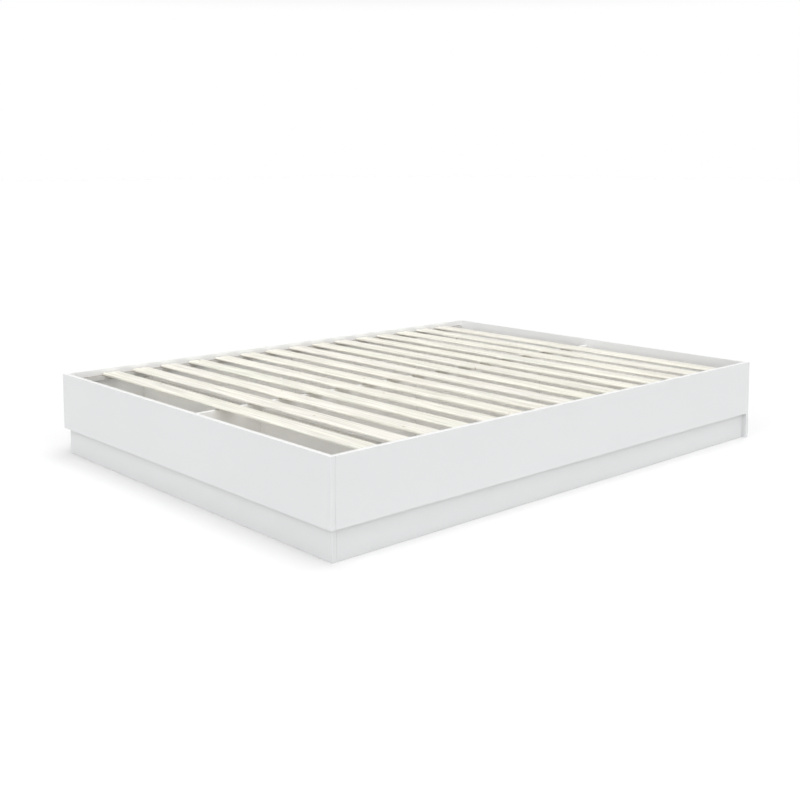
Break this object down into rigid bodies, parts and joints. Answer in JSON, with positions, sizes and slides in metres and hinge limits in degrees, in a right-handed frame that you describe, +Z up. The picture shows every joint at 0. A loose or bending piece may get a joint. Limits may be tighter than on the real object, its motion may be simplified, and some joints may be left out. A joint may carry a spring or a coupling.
{
  "type": "platform bed",
  "caption": "Low white platform bed frame with a recessed plinth and a deck of flat pale wood slats set between the rails, for a queen mattress.",
  "frame": {"origin": "middle of the bed's footprint, on the floor", "axes": "+Z up, +Y along the bed to the head end, +X across the bed to the right as seen from the foot"},
  "size_m": [1.568, 2.08, 0.297],
  "materials": {
    "white_laminate": "white melamine laminate on board, satin",
    "pale_slat_wood": "bare planed pale softwood, matt",
    "beech_dowel": "bare beech",
    "zinc_plated_steel": "bright zinc plate"
  },
  "bodies": {
    "root": {"cam_bolt_foot_left": "zinc_plated_steel", "cam_bolt_foot_right": "zinc_plated_steel", "cam_bolt_head_left": "zinc_plated_steel", "cam_bolt_head_right": "zinc_plated_steel", "cam_lock_foot_left": "zinc_plated_steel", "cam_lock_foot_right": "zinc_plated_steel", "cam_lock_head_left": "zinc_plated_steel", "cam_lock_head_right": "zinc_plated_steel", "centre_board": "white_laminate", "corner_angle_left": "zinc_plated_steel", "corner_angle_right": "zinc_plated_steel", "cross_panel_1": "white_laminate", "cross_panel_2": "white_laminate", "cross_panel_3": "white_laminate", "dowel_foot_left": "beech_dowel", "dowel_foot_right": "beech_dowel", "dowel_head_left": "beech_dowel", "dowel_head_right": "beech_dowel", "foot_panel": "white_laminate", "foot_plinth": "white_laminate", "foot_plinth_screw_left": "zinc_plated_steel", "foot_plinth_screw_right": "zinc_plated_steel", "head_panel": "white_laminate", "ledger_left": "white_laminate", "ledger_right": "white_laminate", "ledger_screw_left_1": "zinc_plated_steel", "ledger_screw_left_2": "zinc_plated_steel", "ledger_screw_left_3": "zinc_plated_steel", "ledger_screw_left_4": "zinc_plated_steel", "ledger_screw_right_1": "zinc_plated_steel", "ledger_screw_right_2": "zinc_plated_steel", "ledger_screw_right_3": "zinc_plated_steel", "ledger_screw_right_4": "zinc_plated_steel", "side_plinth_left": "white_laminate", "side_plinth_right": "white_laminate", "side_plinth_screw_left_1": "zinc_plated_steel", "side_plinth_screw_left_2": "zinc_plated_steel", "side_plinth_screw_left_3": "zinc_plated_steel", "side_plinth_screw_left_4": "zinc_plated_steel", "side_plinth_screw_right_1": "zinc_plated_steel", "side_plinth_screw_right_2": "zinc_plated_steel", "side_plinth_screw_right_3": "zinc_plated_steel", "side_plinth_screw_right_4": "zinc_plated_steel", "side_rail_left": "white_laminate", "side_rail_right": "white_laminate", "slat_01": "pale_slat_wood", "slat_02": "pale_slat_wood", "slat_03": "pale_slat_wood", "slat_04": "pale_slat_wood", "slat_05": "pale_slat_wood", "slat_06": "pale_slat_wood", "slat_07": "pale_slat_wood", "slat_08": "pale_slat_wood", "slat_09": "pale_slat_wood", "slat_10": "pale_slat_wood", "slat_11": "pale_slat_wood", "slat_12": "pale_slat_wood", "slat_13": "pale_slat_wood", "slat_14": "pale_slat_wood", "slat_15": "pale_slat_wood"}
  },
  "joints": []
}
